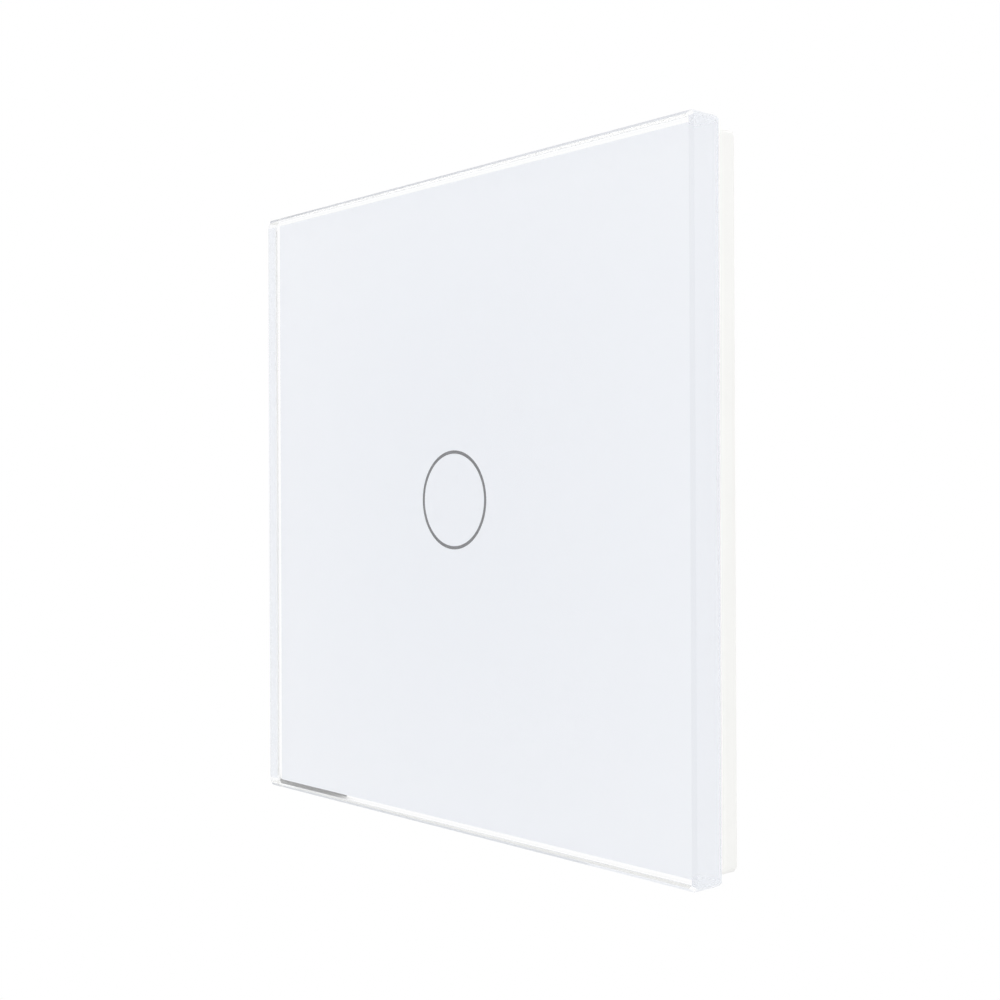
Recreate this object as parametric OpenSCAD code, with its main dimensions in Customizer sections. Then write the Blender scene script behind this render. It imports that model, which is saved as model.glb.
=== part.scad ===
// Touch light switch: a pull-off glass panel over a flush-mounted relay module.
// Millimetres, +Z up. Y = 0 is the wall surface, the panel faces -Y and the module goes into the wall.

/* [Glass panel] */
// Width and height of the square glass
panel_w = 80; // [76:0.5:90]
// Thickness of the glass
glass_t = 4.2; // [3:0.1:6]
// Leg of the polished chamfer on every edge of the glass
glass_chamfer = 0.4; // [0.1:0.05:0.8]
// Clear border between the edge of the glass and the enamel
enamel_margin = 0.6; // [0.3:0.1:3]
// Thickness of the enamel on the back of the glass
enamel_t = 0.15; // [0.1:0.01:0.3]
// Diameter of the ring mark, at the middle of its line
ring_d = 11.8; // [10:0.1:13]
// Width of the ring mark's line
ring_line = 0.4; // [0.2:0.05:1]
// Thickness of the adhesive between the glass and the frame
adhesive_t = 0.2; // [0.1:0.05:0.5]

/* [Panel frame] */
// Step from the edge of the glass in to the side of the frame
frame_inset = 0.75; // [0.3:0.05:2]
// Depth of the frame behind the adhesive
frame_depth = 3; // [2.4:0.05:4]
// Corner radius of the frame
frame_r = 0.8; // [0.4:0.1:3]
// Thickness of the frame's rim
rim_t = 1.6; // [1:0.1:2.4]
// Thickness of the frame's web, which carries the glass
web_t = 1; // [0.8:0.05:1.3]
// Gap between the rim and the wall
wall_gap = 0.2; // [0.1:0.05:0.5]
// Diameter of the reliefs in the web over the heads of the fixing screws
relief_d = 10; // [8:0.5:11]
// Width of the notch for prying the panel off
notch_w = 10; // [6:1:16]
// Depth of the notch for prying the panel off
notch_depth = 1; // [0.5:0.1:1.4]
// Width of each snap hook
hook_w = 6; // [4:0.5:9]
// Thickness of each snap hook's arm
hook_t = 1.2; // [0.8:0.1:1.6]
// Overlap of a hook's nose behind the mounting plate
hook_catch = 0.3; // [0.1:0.05:0.6]
// Reach of a hook behind the wall surface
hook_reach = 1.1; // [0.8:0.1:2]
// Distance between the two hooks on one side
hook_spacing = 26; // [20:1:34]

/* [Mounting plate] */
// Thickness of the mounting plate
plate_t = 1.2; // [0.8:0.1:1.5]
// Gap between the mounting plate and the rim of the panel
plate_gap = 2.1; // [1:0.1:3]
// Corner radius of the mounting plate
plate_r = 2; // [0.5:0.5:5]
// Width of the square opening in the mounting plate
plate_opening = 28; // [24:0.5:30]
// Distance between opposite fixing screws
fixing_spacing = 60; // [57:0.1:62]
// Width of each fixing slot
fixing_slot_w = 4; // [3:0.1:5]
// Length of each fixing slot, end to end
fixing_slot_l = 6; // [5.5:0.1:7]

/* [Front cover] */
// Width of the front cover
cover_w = 46; // [44:0.5:49]
// Corner radius of the front cover
cover_r = 3; // [1:0.5:5]
// Gap between the front cover and the opening in the panel's web
cover_gap = 2.5; // [1:0.1:4]
// Thickness of the front cover over the light guide's flange
cover_skin = 1; // [0.6:0.1:1.2]
// Diameter of the posts that hold the sensor board
post_d = 3; // [2:0.1:4]

/* [Touch sensor] */
// Wall of the ring-shaped light guide
guide_wall = 2.2; // [1.4:0.1:2.6]
// Width of the light guide's flange
flange_out = 1.4; // [0.8:0.1:2]
// Thickness of the light guide's flange
flange_t = 1; // [0.6:0.1:1.4]
// Outer diameter of the touch spring
spring_d = 6.6; // [5:0.1:7]
// Diameter of the touch spring's wire
spring_wire = 0.5; // [0.3:0.05:0.6]
// Number of turns in the touch spring
spring_turns = 4; // [3:1:4]
// Width of the sensor board
sensor_w = 36; // [34:0.5:38]
// Thickness of the sensor board
sensor_t = 1.2; // [0.8:0.1:1.6]
// Depth of the sensor board's front behind the wall surface
sensor_setback = 2; // [1.9:0.1:4]
// Length of the touch chip
chip_l = 5; // [4:0.1:6]
// Width of the touch chip's body
chip_w = 4; // [3:0.1:4.5]
// Height of the touch chip
chip_h = 1.4; // [1:0.1:1.6]
// Height of each indicator lamp
led_h = 0.7; // [0.5:0.1:1]

/* [Boards] */
// Width of the power board
board_w = 39; // [37:0.5:46]
// Thickness of the power board
power_t = 1.6; // [1:0.1:2]
// Space between the two boards
board_space = 2.8; // [2.6:0.1:6]
// Diameter of the component leads
lead_d = 0.8; // [0.5:0.1:1]
// Length of a lead past the board
lead_out = 1.4; // [0.8:0.1:2]
// Gap between components on the board
part_gap = 0.8; // [0.5:0.1:1.2]
// Distance between the pins of the board header
header_pitch = 2.54; // [2:0.01:2.54]
// Number of pins in the board header
header_pins_n = 4; // [2:1:5]

/* [Components] */
// Length of the film capacitor
film_l = 13; // [11:0.5:14]
// Width of the film capacitor
film_w = 6; // [4:0.5:7]
// Height of the film capacitor
film_h = 10.5; // [8:0.5:14]
// Diameter of the smoothing capacitor
can_d = 8; // [6:0.5:9]
// Height of the smoothing capacitor
can_h = 10.5; // [8:0.5:14]
// Width of the transformer
trafo_w = 11; // [10:0.5:13]
// Length of the transformer
trafo_l = 10; // [8.5:0.5:12]
// Height of the transformer
trafo_h = 10.5; // [9:0.5:14]
// Thickness of the transformer's core
trafo_core_t = 4.4; // [3:0.1:6]
// Diameter of the varistor disc
varistor_d = 7; // [5:0.5:8]
// Thickness of the varistor disc
varistor_t = 3.4; // [2.5:0.1:4]
// Length of the fuse
fuse_l = 8.4; // [7:0.1:9]
// Width of the fuse
fuse_w = 4; // [3:0.1:4.5]
// Height of the fuse
fuse_h = 7.6; // [6:0.1:9]
// Length of the rectifier
rectifier_l = 4.7; // [4:0.1:6]
// Height of the rectifier
rectifier_h = 2.2; // [1.5:0.1:2.3]

/* [Relay] */
// Length of the relay
relay_l = 20; // [18:0.5:22]
// Width of the relay
relay_w = 10.5; // [9:0.5:12]
// Height of the relay
relay_h = 10.8; // [10.2:0.1:14]
// Wall of the relay's cover
relay_wall = 0.6; // [0.4:0.1:0.8]
// Thickness of the relay's base
relay_base_t = 1.2; // [0.8:0.1:1.6]
// Length of the relay's bobbin
coil_l = 9.4; // [8:0.1:10]
// Diameter of the relay's winding
coil_d = 5.2; // [4:0.1:5.6]
// Diameter of the relay's iron core
core_d = 1.9; // [1.2:0.1:2.2]
// Thickness of the relay's yoke and armature
iron_t = 0.8; // [0.6:0.1:1]
// Width of the relay's yoke and armature
iron_w = 5.6; // [4:0.1:6.5]
// Swing of the relay's armature, in degrees
armature_swing = 5; // [2:0.5:6]
// Diameter of the relay's contacts
contact_d = 1.6; // [1:0.1:2]

/* [Terminals] */
// Distance between neighbouring terminals
term_pitch = 8; // [7.5:0.1:9.5]
// Diameter of the wire entry in a terminal block
entry_d = 3.4; // [2.6:0.1:3.8]
// Wall round the wire entry
entry_t = 2; // [1.2:0.1:3]
// Wall behind and below the clamp cage
term_wall = 1; // [0.8:0.1:1.4]
// Opening for the wire in an open clamp
wire_space = 2.6; // [2.2:0.1:3.2]
// Travel of the clamp cage
clamp_travel = 2; // [1:0.1:2.1]
// Length of the clamp cage along the wire
cage_l = 5.4; // [4.5:0.1:6]
// Side wall of the clamp cage
cage_t = 0.8; // [0.6:0.1:1]
// Threaded wall of the clamp cage
thread_t = 1.6; // [1.2:0.1:2]
// Width of each contact bar
bar_w = 3.2; // [2.6:0.1:3.4]
// Thickness of each contact bar
bar_t = 1; // [0.8:0.1:1.4]
// Diameter of the clamp screw
clamp_d = 3; // [2.5:0.1:3.5]
// Diameter of the clamp screw's head
clamp_head_d = 4.4; // [3.8:0.1:5]
// Height of the clamp screw's head
clamp_head_h = 1.4; // [1:0.1:2]

/* [Rear housing] */
// Wall of the rear housing
body_wall = 1.5; // [1.2:0.1:2]
// Corner radius of the rear housing
body_r = 2.5; // [1.6:0.1:4]
// Chamfer round the back of the rear housing
back_chamfer = 1.2; // [0.4:0.1:1.4]
// Gap between the power board and the rear housing
board_gap = 0.3; // [0.2:0.1:0.6]
// Diameter of the screw bosses
boss_d = 4.8; // [4:0.1:5.4]
// Diameter of the housing screws
house_screw_d = 2.2; // [1.8:0.1:2.6]
// Diameter of the housing screws' heads
house_head_d = 4; // [3.4:0.1:4.6]
// Height of the housing screws' heads
house_head_h = 1; // [0.7:0.1:1.2]
// Depth of a housing screw's thread in its boss
house_screw_l = 9; // [6:0.5:12]
// Diameter of the screwdriver holes
driver_d = 4.2; // [3.6:0.1:5]
// Width of the window over the wire entries
wire_window = 5; // [4:0.1:6]
// Width of the bare label recess
label_w = 26; // [16:1:32]
// Height of the bare label recess
label_h = 14; // [8:1:16]
// Depth of the bare label recess
label_depth = 0.3; // [0.2:0.05:0.6]
// Number of cooling slots on each side
vents_n = 4; // [2:1:5]
// Height of each cooling slot
vent_h = 1.2; // [0.8:0.1:2]

/* [Hidden] */
$fn = 48;
// Extra length of cutting tools past the faces that they cut
over = 0.5;
// Points on each round corner of an outline
corner_steps = 8;
// Clearance of a piece that stops just short of the enamel
touch_gap = 0.05;
// Clearance of the front cover behind the enamel
cover_clear = 0.1;
// Clearance between the ring mark and its window
ring_gap = 0.02;
// Clearance round a hook in its window
hook_gap = 0.3;
// Clearance between a hook's nose and the plate
nose_gap = 0.1;
// Clearance of a piece that slips into a seat
slip = 0.1;
// Clearance round a lead in its board
lead_gap = 0.15;
// Clearance between a thread and its hole
thread_gap = 0.05;
// Clearance of the clamp cage in its block
run_gap = 0.15;
// Clearance between the clamp cage and the contact bar
bar_gap = 0.3;
// Clearance at the end of a component
end_gap = 0.2;

// Levels in the panel, from the wall towards the room
y_rim = -wall_gap;
y_frame = y_rim - frame_depth;
y_web = y_frame + web_t;
y_enamel = y_frame - adhesive_t;
y_glass = y_enamel - enamel_t;
y_front = y_glass - glass_t;
// Levels in the module, from the room into the wall
y_plate = -plate_t;
y_cover = y_enamel + cover_clear;
y_flange = y_cover + cover_skin;
y_sensor = sensor_setback;
y_sensor_back = y_sensor + sensor_t;
y_power = y_sensor_back + board_space;
y_board = y_power + power_t;
y_leads = y_power - lead_out;
y_led = y_sensor - led_h;
y_guide = y_led - slip;

// Panel and plate outlines
frame_w = panel_w - 2 * frame_inset;
rim_in_w = frame_w - 2 * rim_t;
plate_w = rim_in_w - 2 * plate_gap;
web_opening = cover_w + 2 * cover_gap;
hook_x = web_opening / 2;
fixing_x = fixing_spacing / 2;

// Light guide and what stands round it on the sensor board
guide_d = ring_d + guide_wall;
guide_bore = ring_d - guide_wall;
flange_d = guide_d + 2 * flange_out;
post_at = (plate_opening - post_d) / 2 - over;
chip_foot = 1;
chip_side_pins = 4;
chip_z = -(guide_d / 2 + part_gap + chip_foot + chip_w / 2);

// Rear housing
body_in = board_w + 2 * board_gap;
body_w = body_in + 2 * body_wall;
boss_sink = 0.5;
boss_at = body_in / 2 - boss_d / 2 + boss_sink;
corners = [for (x = [-1, 1]) for (z = [-1, 1]) [x, z]];

// Terminals: levels from the board into the wall, then the places of the blocks
term_floor = 0.6;
clamp_lip = 0.9;
cage_front_t = 0.9;
y_cage = y_board + term_floor + end_gap;
y_wire = y_cage + cage_front_t;
y_bar = y_wire + wire_space;
y_thread = y_bar + bar_t + bar_gap;
y_head = y_thread + thread_t + clamp_travel + end_gap;
y_lip = y_head + clamp_head_h + slip;
y_block = y_lip + clamp_lip;
cage_in_w = bar_w + 2 * bar_gap;
cage_w = cage_in_w + 2 * cage_t;
cell_w = cage_w + 2 * run_gap;
block_w = term_pitch - end_gap;
z_entry = -body_in / 2 + end_gap;
z_cell = z_entry + entry_t;
z_cell_top = z_cell + cage_l + 2 * bar_gap;
z_block_top = z_cell_top + term_wall;
z_clamp = (z_cell + z_cell_top) / 2;
y_wire_mid = y_wire + wire_space / 2;
terminals = [-term_pitch, 0, term_pitch];

// Components on the power board, in rows above the terminals
relay_at = [0, z_block_top + part_gap + relay_w / 2];
row_z = relay_at.y + relay_w / 2 + part_gap;
trafo_at = [-(part_gap + trafo_w) / 2, row_z + trafo_l / 2];
film_at = [(part_gap + film_l) / 2, row_z + film_w / 2];
can_at = [part_gap + can_d / 2, row_z + film_w + part_gap + can_d / 2];
varistor_at = [(relay_l + varistor_t) / 2 + part_gap, relay_at.y];
fuse_at = [-(relay_l + fuse_w) / 2 - part_gap, relay_at.y];
header_w = 2.5;
header_at = [trafo_at.x, sensor_w / 2 - header_w / 2 - over];
header_pin_w = 0.64;
header_hole_d = norm([header_pin_w, header_pin_w]) + lead_gap;
rectifier_w = 3.8;
rectifier_foot = 0.8;
rectifier_side_pins = 2;
rectifier_at = [can_at.x, row_z + rectifier_l];
varistor_lift = 0.8;
tallest = max(y_block - y_board, relay_h, film_h, can_h, trafo_h, fuse_h, varistor_lift + varistor_d);
y_inside = y_board + tallest + end_gap;
y_back = y_inside + body_wall;

// Transformer: the core's legs and windows, worked out from its outer size
bobbin_h = 1.2;
leg_t = 1.8;
mid_leg = 3.2;
window_w = (trafo_w - 2 * leg_t - mid_leg) / 2;
y_core = y_board + bobbin_h;
y_core_top = y_board + trafo_h;

// Relay: places along its length, then heights above its base
relay_left = relay_at.x - relay_l / 2;
relay_right = relay_at.x + relay_l / 2;
y_relay = y_board + relay_base_t;
y_relay_top = y_board + relay_h;
bobbin_wall = 0.5;
bobbin_flange = 0.7;
bobbin_w = coil_d + 2 * slip;
pole_out = 0.5;
leaf_t = 0.25;
leaf_w = 3;
leaf_drop = 1.6;
contact_h = 0.5;
yoke_x = relay_left + relay_wall + slip;
coil_x = yoke_x + iron_t;
pole_x = coil_x + coil_l + pole_out;
coil_y = y_relay + bobbin_w / 2;
yoke_y = coil_y + bobbin_w / 2 + slip;
pivot_y = yoke_y + iron_t / 2;
pole_drop = pivot_y - coil_y + core_d / 2;
pivot_x = pole_x + pole_drop * sin(armature_swing) + slip;
leaf_y = pivot_y - leaf_drop;
arm_end = relay_right - relay_wall - part_gap;
contact_x = arm_end - contact_d / 2;
contact_drop = (arm_end - pivot_x) * sin(armature_swing) + slip;

// Leads of each component, as places on the power board
lead_inset = 1.5;
film_leads = [for (s = [-1, 1]) film_at + [s * (film_l / 2 - lead_inset), 0]];
can_leads = [for (s = [-1, 1]) can_at + [s * can_d / 4, 0]];
trafo_leads = [for (c = corners)
    trafo_at + [c.x * (trafo_w / 2 - lead_inset), c.y * (trafo_l / 2 - lead_inset)]];
varistor_leads = [for (s = [-1, 1]) varistor_at + [s * varistor_t / 6, s * varistor_d / 3]];
fuse_leads = [for (s = [-1, 1]) fuse_at + [0, s * fuse_l / 4]];
coil_leads = [for (s = [-1, 1])
    [coil_x + bobbin_flange + lead_d, relay_at.y + s * (bobbin_w / 2 + lead_d)]];
contact_leads = [[yoke_x + iron_t / 2, relay_at.y], [contact_x, relay_at.y]];
relay_leads = concat(coil_leads, contact_leads);
board_leads = concat(film_leads, can_leads, trafo_leads, varistor_leads, fuse_leads, relay_leads);
header_row = [for (i = [0:header_pins_n - 1])
    header_at + [(i - (header_pins_n - 1) / 2) * header_pitch, 0]];

// Touch spring: one wire, straight at both ends, along a helix
ring_sides = 8;
turn_steps = 16;
spring_r = (spring_d - spring_wire) / 2;
spring_from = y_sensor;
spring_to = y_enamel + touch_gap;
spring_run = spring_from - spring_to - 2 * spring_wire;
helix_steps = spring_turns * turn_steps;
helix = [for (i = [0:helix_steps]) let (a = 360 * i / turn_steps)
    [spring_r * cos(a), spring_from - spring_wire - spring_run * i / helix_steps, spring_r * sin(a)]];
spring_path = concat([[spring_r, spring_from, 0]], helix, [[spring_r, spring_to, 0]]);
turn_gaps = [for (i = [0:helix_steps - turn_steps]) norm(helix[i] - helix[i + turn_steps]) - spring_wire];
spring_gap = min(turn_gaps);
echo(touch_spring_least_gap = spring_gap);

single_nodes = ["glass_panel", "enamel_layer", "indicator_ring", "glass_adhesive", "panel_frame",
    "mounting_plate", "front_cover", "light_guide", "touch_spring", "sensor_board", "touch_chip",
    "indicator_leds", "board_header", "header_pins", "power_board", "rectifier", "film_capacitor",
    "smoothing_capacitor", "transformer_bobbin", "transformer_core", "transformer_winding", "varistor",
    "fuse", "relay_base", "relay_cover", "relay_bobbin", "relay_winding", "relay_yoke", "relay_armature",
    "relay_contact_arm", "relay_fixed_contact", "relay_pins", "contact_bars", "rear_housing",
    "housing_screws"];
terminal_nodes = ["terminal_block", "clamp_cage", "clamp_screw"];

// Span of a given width about a middle
function about(mid, width) = [mid - width / 2, mid + width / 2];

// Span lengthened at both ends
function grow(span) = [span[0] - over, span[1] + over];

// Corners of a rectangle with round corners
function rounded(w, h, r) = [for (q = [[1, 1], [-1, 1], [-1, -1], [1, -1]]) for (i = [0:corner_steps])
    let (a = atan2(q.y, q.x) - 45 + 90 * i / corner_steps)
    [q.x * (w / 2 - r) + r * cos(a), q.y * (h / 2 - r) + r * sin(a)]];

// Corners of a rectangle with its corners cut off
function cut(w, h, c) = [[w / 2 - c, h / 2], [c - w / 2, h / 2], [-w / 2, h / 2 - c], [-w / 2, c - h / 2],
    [c - w / 2, -h / 2], [w / 2 - c, -h / 2], [w / 2, c - h / 2], [w / 2, h / 2 - c]];

// Box between two values on each axis
module box(x, y, z) {
    translate([x[0], y[0], z[0]]) cube([x[1] - x[0], y[1] - y[0], z[1] - z[0]]);
}

// Prism along Y of an outline drawn in X and Z
module along_y(span) {
    translate([0, span[1], 0]) rotate([90, 0, 0]) linear_extrude(span[1] - span[0]) children();
}

// Round rod along Y at a place in X and Z
module rod_y(at, d, span) {
    translate([at.x, span[0], at.y]) rotate([-90, 0, 0]) cylinder(h = span[1] - span[0], d = d);
}

// Round rod along X at a place in Y and Z
module rod_x(at, d, span) {
    translate([span[0], at.x, at.y]) rotate([0, 90, 0]) cylinder(h = span[1] - span[0], d = d);
}

// Round rod along Z at a place in X and Y
module rod_z(at, d, span) {
    translate([at.x, at.y, span[0]]) cylinder(h = span[1] - span[0], d = d);
}

// Ring about the middle of the panel, of a given line width
module ring(d, line, span) {
    difference() {
        rod_y([0, 0], d + line, span);
        rod_y([0, 0], d - line, grow(span));
    }
}

// Box with every edge chamfered, between two values on each axis
module chamfered(x, y, z, c) {
    s = [x[1] - x[0], y[1] - y[0], z[1] - z[0]];
    translate([x[0] + x[1], y[0] + y[1], z[0] + z[1]] / 2) intersection() {
        linear_extrude(s.z, center = true) polygon(cut(s.x, s.y, c));
        rotate([90, 0, 0]) linear_extrude(s.y, center = true) polygon(cut(s.x, s.z, c));
        rotate([90, 0, 90]) linear_extrude(s.x, center = true) polygon(cut(s.y, s.z, c));
    }
}

// Stadium-shaped cutter through a plate, along X
module slot_x(at, l, w, span) {
    box(about(at.x, l - w), span, about(at.y, w));
    for (x = about(at.x, l - w)) rod_y([x, at.y], w, span);
}

// Leads from a height above the board out through it
module leads(places, top) {
    for (p = places) rod_y(p, lead_d, [y_leads, top]);
}

// Cutters for what takes the corners and the header's pins out of a board
module board_cuts(span) {
    for (c = corners) rod_y(c * boss_at, boss_d + 2 * board_gap, span);
    for (p = header_row) rod_y(p, header_hole_d, span);
}

// Tube of round section swept along points that run mainly along Y
module tube(points, d) {
    last = len(points) - 1;
    rings = [for (i = [0:last])
        let (t = i == 0 || i == last ? [0, 1, 0] : points[i - 1] - points[i + 1],
            u = cross(t, [t.z, 0, -t.x] + [0, 0, t.x == 0 && t.z == 0 ? 1 : 0]),
            side = u / norm(u), rise = cross(t / norm(t), side))
        for (k = [0:ring_sides - 1])
            points[i] + d / 2 * (cos(360 * k / ring_sides) * side + sin(360 * k / ring_sides) * rise)];
    walls = [for (i = [0:last - 1]) for (k = [0:ring_sides - 1])
        let (a = i * ring_sides + k, b = i * ring_sides + (k + 1) % ring_sides)
        each [[a, b, a + ring_sides], [b, b + ring_sides, a + ring_sides]]];
    ends = [for (k = [1:ring_sides - 2])
        each [[0, k + 1, k], [last * ring_sides, last * ring_sides + k, last * ring_sides + k + 1]]];
    polyhedron(rings, concat(walls, ends));
}

module glass_panel() {
    color("aliceblue", 0.5)
        chamfered(about(0, panel_w), [y_front, y_glass], about(0, panel_w), glass_chamfer);
}

module enamel_layer() {
    color("white") difference() {
        along_y([y_glass, y_enamel]) square(panel_w - 2 * enamel_margin, center = true);
        ring(ring_d, ring_line + 2 * ring_gap, grow([y_glass, y_enamel]));
    }
}

module indicator_ring() {
    color("dimgray") ring(ring_d, ring_line, [y_glass, y_enamel]);
}

// Notches in the web over the fixing screws' heads
module reliefs(span) {
    for (a = [0:90:270]) rotate([0, a, 0]) {
        rod_y([fixing_x, 0], relief_d, span);
        box([hook_x - over, fixing_x], span, about(0, relief_d));
    }
}

module glass_adhesive() {
    span = [y_enamel, y_frame];
    color("gainsboro") difference() {
        along_y(span) polygon(rounded(frame_w, frame_w, frame_r));
        along_y(grow(span)) square(web_opening, center = true);
        reliefs(grow(span));
    }
}

// Snap hook on the +X side, in a profile whose nose reaches behind the plate
module snap_hook() {
    arm = hook_x + hook_t;
    nose = arm + hook_gap + hook_catch;
    linear_extrude(hook_w, center = true)
        polygon([[hook_x, y_web - web_t / 2], [arm, y_web - web_t / 2], [arm, nose_gap], [nose, nose_gap],
            [nose, hook_reach / 2], [arm - hook_t / 2, hook_reach], [hook_x, hook_reach]]);
}

module panel_frame() {
    color("whitesmoke") {
        difference() {
            along_y([y_frame, y_rim]) polygon(rounded(frame_w, frame_w, frame_r));
            along_y([y_web, y_rim + over]) polygon(rounded(rim_in_w, rim_in_w, frame_r));
            along_y(grow([y_frame, y_web])) square(web_opening, center = true);
            reliefs(grow([y_frame, y_web]));
            box(about(0, notch_w), [y_rim - notch_depth, y_rim + over], [-frame_w, rim_t - frame_w] / 2);
        }
        for (turn = [0, 180]) rotate([0, turn, 0])
            for (z = about(0, hook_spacing)) translate([0, 0, z]) snap_hook();
    }
}

module mounting_plate() {
    span = [y_plate, 0];
    cutter = grow(span);
    hook_mid = hook_x + hook_t / 2;
    window = [hook_t, hook_w] + 2 * [hook_gap, hook_gap];
    color("silver") difference() {
        along_y(span) polygon(rounded(plate_w, plate_w, plate_r));
        along_y(cutter) square(plate_opening, center = true);
        for (a = [0:90:270]) rotate([0, a, 0])
            slot_x([fixing_x, 0], fixing_slot_l, fixing_slot_w, cutter);
        for (s = [-1, 1]) for (z = about(0, hook_spacing))
            box(about(s * hook_mid, window.x), cutter, about(z, window.y));
        for (c = corners) rod_y(c * boss_at, house_screw_d + 2 * slip, cutter);
    }
}

module front_cover() {
    span = [y_cover, y_plate];
    color("white") difference() {
        union() {
            along_y(span) polygon(rounded(cover_w, cover_w, cover_r));
            for (c = corners) rod_y(c * post_at, post_d, [y_plate - over, y_sensor]);
        }
        rod_y([0, 0], guide_d + 2 * slip, grow(span));
        rod_y([0, 0], flange_d + 2 * slip, [y_flange, y_plate + over]);
        for (c = corners) {
            rod_y(c * boss_at, house_screw_d + 2 * slip, grow(span));
            rod_y(c * boss_at, house_head_d + 2 * slip, [y_cover - over, y_cover + house_head_h]);
        }
    }
}

module light_guide() {
    color("lightcyan") difference() {
        union() {
            rod_y([0, 0], guide_d, [y_enamel + touch_gap, y_guide]);
            rod_y([0, 0], flange_d, [y_flange, y_flange + flange_t]);
        }
        rod_y([0, 0], guide_bore, grow([y_enamel, y_guide]));
    }
}

module touch_spring() {
    color("goldenrod") tube(spring_path, spring_wire);
}

module sensor_board() {
    span = [y_sensor, y_sensor_back];
    color("seagreen") difference() {
        along_y(span) square(sensor_w, center = true);
        board_cuts(grow(span));
    }
}

// Flat chip on the front of a board, with a row of bent leads along two sides
module chip(at, l, w, h, foot, board, pins) {
    lead_w = 0.4;
    lead_t = 0.2;
    stand = 0.1;
    chamfered(about(at.x, l), [board - h, board - stand], about(at.y, w), lead_t);
    for (s = [-1, 1]) for (i = [0:pins - 1]) {
        x = about(at.x + (i - (pins - 1) / 2) * l / pins, lead_w);
        knee = at.y + s * (w / 2 + foot / 2);
        box(x, about(board - h / 2, lead_t), about(at.y + s * w / 2, foot));
        box(x, [board - h / 2 - lead_t / 2, board], about(knee, lead_t));
        box(x, [board - lead_t, board], about(knee + s * foot / 4, foot / 2));
    }
}

module touch_chip() {
    color("dimgray") chip([0, chip_z], chip_l, chip_w, chip_h, chip_foot, y_sensor, chip_side_pins);
}

module indicator_leds() {
    led_l = 1.6;
    led_w = 0.8;
    lens_l = 1;
    color("lightyellow") for (s = [-1, 1]) {
        box(about(s * ring_d / 2, led_w), [y_sensor - led_h / 2, y_sensor], about(0, led_l));
        box(about(s * ring_d / 2, led_w), [y_led, y_sensor - led_h / 2], about(0, lens_l));
    }
}

module board_header() {
    color("black") difference() {
        chamfered(about(header_at.x, header_pins_n * header_pitch), [y_sensor_back, y_power],
            about(header_at.y, header_w), lead_gap);
        for (p = header_row) rod_y(p, header_hole_d, grow([y_sensor_back, y_power]));
    }
}

module header_pins() {
    span = [y_sensor - lead_out / 2, y_board + lead_out];
    color("gold") for (p = header_row)
        box(about(p.x, header_pin_w), span, about(p.y, header_pin_w));
}

module power_board() {
    span = [y_power, y_board];
    color("forestgreen") difference() {
        along_y(span) square(board_w, center = true);
        board_cuts(grow(span));
        for (p = board_leads) rod_y(p, lead_d + 2 * lead_gap, grow(span));
        for (x = terminals) bar_leg(x, grow(span), lead_gap);
    }
}

module rectifier() {
    color("dimgray") chip(rectifier_at, rectifier_l, rectifier_w, rectifier_h, rectifier_foot, y_power,
        rectifier_side_pins);
}

module film_capacitor() {
    edge = 0.5;
    color("goldenrod") {
        chamfered(about(film_at.x, film_l), [y_board, y_board + film_h], about(film_at.y, film_w), edge);
        leads(film_leads, y_board + edge);
    }
}

module smoothing_capacitor() {
    groove = 0.4;
    groove_rise = 2;
    groove_y = y_board + groove_rise;
    color("midnightblue") {
        difference() {
            rod_y(can_at, can_d, [y_board, y_board + can_h]);
            difference() {
                rod_y(can_at, can_d + over, about(groove_y, groove));
                rod_y(can_at, can_d - groove, about(groove_y, 2 * groove));
            }
        }
        leads(can_leads, y_board + groove);
    }
}

module transformer_bobbin() {
    color("black") {
        box(about(trafo_at.x, trafo_w), [y_board, y_core], about(trafo_at.y, trafo_l));
        leads(trafo_leads, y_board + bobbin_h / 2);
    }
}

module transformer_core() {
    color("darkslategray") difference() {
        box(about(trafo_at.x, trafo_w), [y_core, y_core_top], about(trafo_at.y, trafo_core_t));
        for (s = [-1, 1])
            box(about(trafo_at.x + s * (mid_leg + window_w) / 2, window_w),
                [y_core + leg_t, y_core_top - leg_t], about(trafo_at.y, trafo_core_t + 2 * over));
    }
}

module transformer_winding() {
    span = [y_core + leg_t + slip, y_core_top - leg_t - slip];
    color("gold") difference() {
        box(about(trafo_at.x, mid_leg + 2 * (window_w - slip)), span,
            about(trafo_at.y, trafo_l - 2 * over));
        box(about(trafo_at.x, mid_leg + 2 * slip), grow(span),
            about(trafo_at.y, trafo_core_t + 2 * slip));
    }
}

module varistor() {
    mid = y_board + varistor_lift + varistor_d / 2;
    color("steelblue") {
        rod_x([mid, varistor_at.y], varistor_d, about(varistor_at.x, varistor_t));
        leads(varistor_leads, mid);
    }
}

module fuse() {
    edge = 0.4;
    color("saddlebrown") {
        chamfered(about(fuse_at.x, fuse_w), [y_board, y_board + fuse_h], about(fuse_at.y, fuse_l), edge);
        leads(fuse_leads, y_board + edge);
    }
}

module relay_base() {
    span = [y_board, y_relay];
    color("black") difference() {
        box([relay_left, relay_right], span, about(relay_at.y, relay_w));
        for (p = relay_leads) rod_y(p, lead_d + 2 * thread_gap, grow(span));
    }
}

module relay_cover() {
    inner = relay_w - 2 * relay_wall;
    color("royalblue") difference() {
        chamfered([relay_left, relay_right], [y_relay, y_relay_top], about(relay_at.y, relay_w), slip);
        box([relay_left + relay_wall, relay_right - relay_wall], [y_relay - over, y_relay_top - relay_wall],
            about(relay_at.y, inner));
    }
}

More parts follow.
